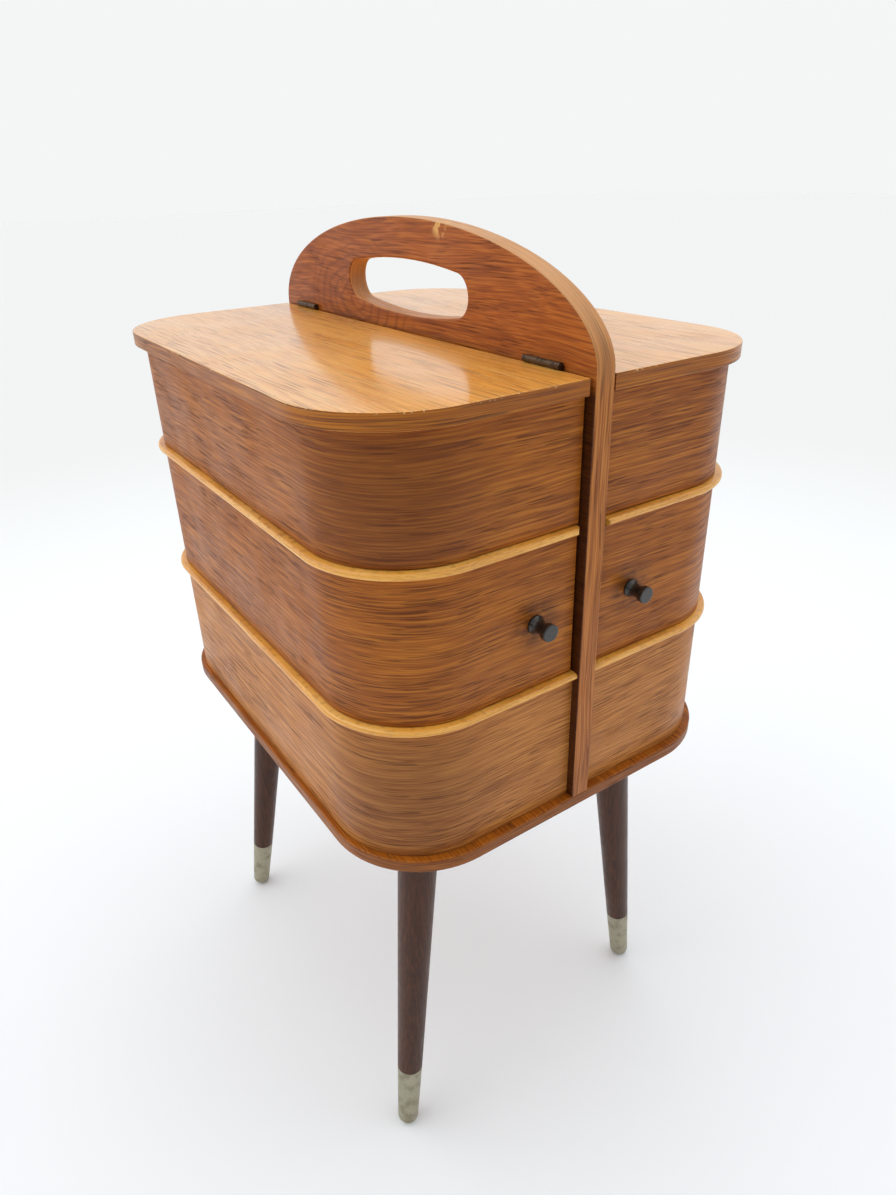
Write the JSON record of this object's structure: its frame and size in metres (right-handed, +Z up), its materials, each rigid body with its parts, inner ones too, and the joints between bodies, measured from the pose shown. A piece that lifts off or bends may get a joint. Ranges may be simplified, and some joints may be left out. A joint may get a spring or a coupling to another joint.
{
  "type": "sewing box with trays",
  "caption": "Wooden sewing box on splayed tapered legs, with an arched carrying handle, hinged lids either side of it and trays that swing out on rods.",
  "frame": {"origin": "on the floor under the middle of the box", "axes": "+Z up, X across the two halves, Y along the centre panel with the knobs at -Y"},
  "size_m": [0.2768, 0.3421, 0.5803],
  "materials": {
    "teak_base": "oiled teak veneer",
    "teak_panel": "oiled teak veneer",
    "teak_lids": "satin lacquered teak veneer",
    "teak_walls": "oiled teak veneer",
    "beech_beads": "clear lacquer",
    "birch_floors": "bare plywood",
    "birch_dividers": "bare plywood",
    "beech_blocks": "bare",
    "walnut_legs": "dark stain, satin",
    "nickel_ferrules": "aged nickel plate",
    "ebonised_knobs": "ebonised, satin",
    "bronze_hinges": "aged",
    "steel_plates": "zinc plated",
    "steel_rods": "plain",
    "brass_washers": "plain",
    "steel_screws": "plain"
  },
  "bodies": {
    "carcass": {"base_plate": "teak_base", "bottom_bead_left": "beech_beads", "bottom_bead_right": "beech_beads", "bottom_pivot_blocks": "beech_blocks", "bottom_wall_left": "teak_walls", "bottom_wall_right": "teak_walls", "center_panel": "teak_panel", "ferrule_back_left": "nickel_ferrules", "ferrule_back_right": "nickel_ferrules", "ferrule_front_left": "nickel_ferrules", "ferrule_front_right": "nickel_ferrules", "hanger_bolts": "steel_screws", "hinge_back_left_panel_leaf": "bronze_hinges", "hinge_back_right_panel_leaf": "bronze_hinges", "hinge_front_left_panel_leaf": "bronze_hinges", "hinge_front_right_panel_leaf": "bronze_hinges", "hinge_pins": "bronze_hinges", "leg_back_left": "walnut_legs", "leg_back_right": "walnut_legs", "leg_front_left": "walnut_legs", "leg_front_right": "walnut_legs", "leg_plate_screws": "steel_screws", "leg_plates": "steel_plates", "panel_hinge_screws": "steel_screws", "panel_screws": "steel_screws", "pivot_rods": "steel_rods", "pivot_washers": "brass_washers", "top_dividers_left": "birch_dividers", "top_dividers_right": "birch_dividers", "top_floor_left": "birch_floors", "top_floor_right": "birch_floors", "top_inner_wall_left": "birch_floors", "top_inner_wall_right": "birch_floors", "top_pivot_blocks": "beech_blocks", "top_wall_left": "teak_walls", "top_wall_right": "teak_walls"},
    "lid_left": {"lid_left": "teak_lids", "lid_hinge_screws_left": "steel_screws", "hinge_front_left_lid_leaf": "bronze_hinges", "hinge_back_left_lid_leaf": "bronze_hinges"},
    "lid_right": {"lid_right": "teak_lids", "lid_hinge_screws_right": "steel_screws", "hinge_front_right_lid_leaf": "bronze_hinges", "hinge_back_right_lid_leaf": "bronze_hinges"},
    "tray_left": {"tray_wall_left": "teak_walls", "tray_inner_wall_left": "birch_floors", "tray_floor_left": "birch_floors", "tray_bead_left": "beech_beads", "tray_pivot_block_left": "beech_blocks", "tray_divider_left": "birch_dividers", "knob_left": "ebonised_knobs", "knob_screw_left": "steel_screws"},
    "tray_right": {"tray_wall_right": "teak_walls", "tray_inner_wall_right": "birch_floors", "tray_floor_right": "birch_floors", "tray_bead_right": "beech_beads", "tray_pivot_block_right": "beech_blocks", "tray_divider_right": "birch_dividers", "knob_right": "ebonised_knobs", "knob_screw_right": "steel_screws"}
  },
  "joints": [
    {"name": "lid_left_hinge", "type": "hinge", "parent": "carcass", "child": "lid_left", "pos_m": [-0.008, 0, 0.5187], "axis": [0, 1, 0], "range_deg": [0, 92]},
    {"name": "lid_right_hinge", "type": "hinge", "parent": "carcass", "child": "lid_right", "pos_m": [0.008, 0, 0.5187], "axis": [0, -1, 0], "range_deg": [0, 92]},
    {"name": "tray_left_swing", "type": "hinge", "parent": "carcass", "child": "tray_left", "pos_m": [-0.0202, 0.154, 0.4], "axis": [0, 0, -1], "range_deg": [0, 90]},
    {"name": "tray_right_swing", "type": "hinge", "parent": "carcass", "child": "tray_right", "pos_m": [0.0202, 0.154, 0.4], "axis": [0, 0, 1], "range_deg": [0, 90]}
  ]
}
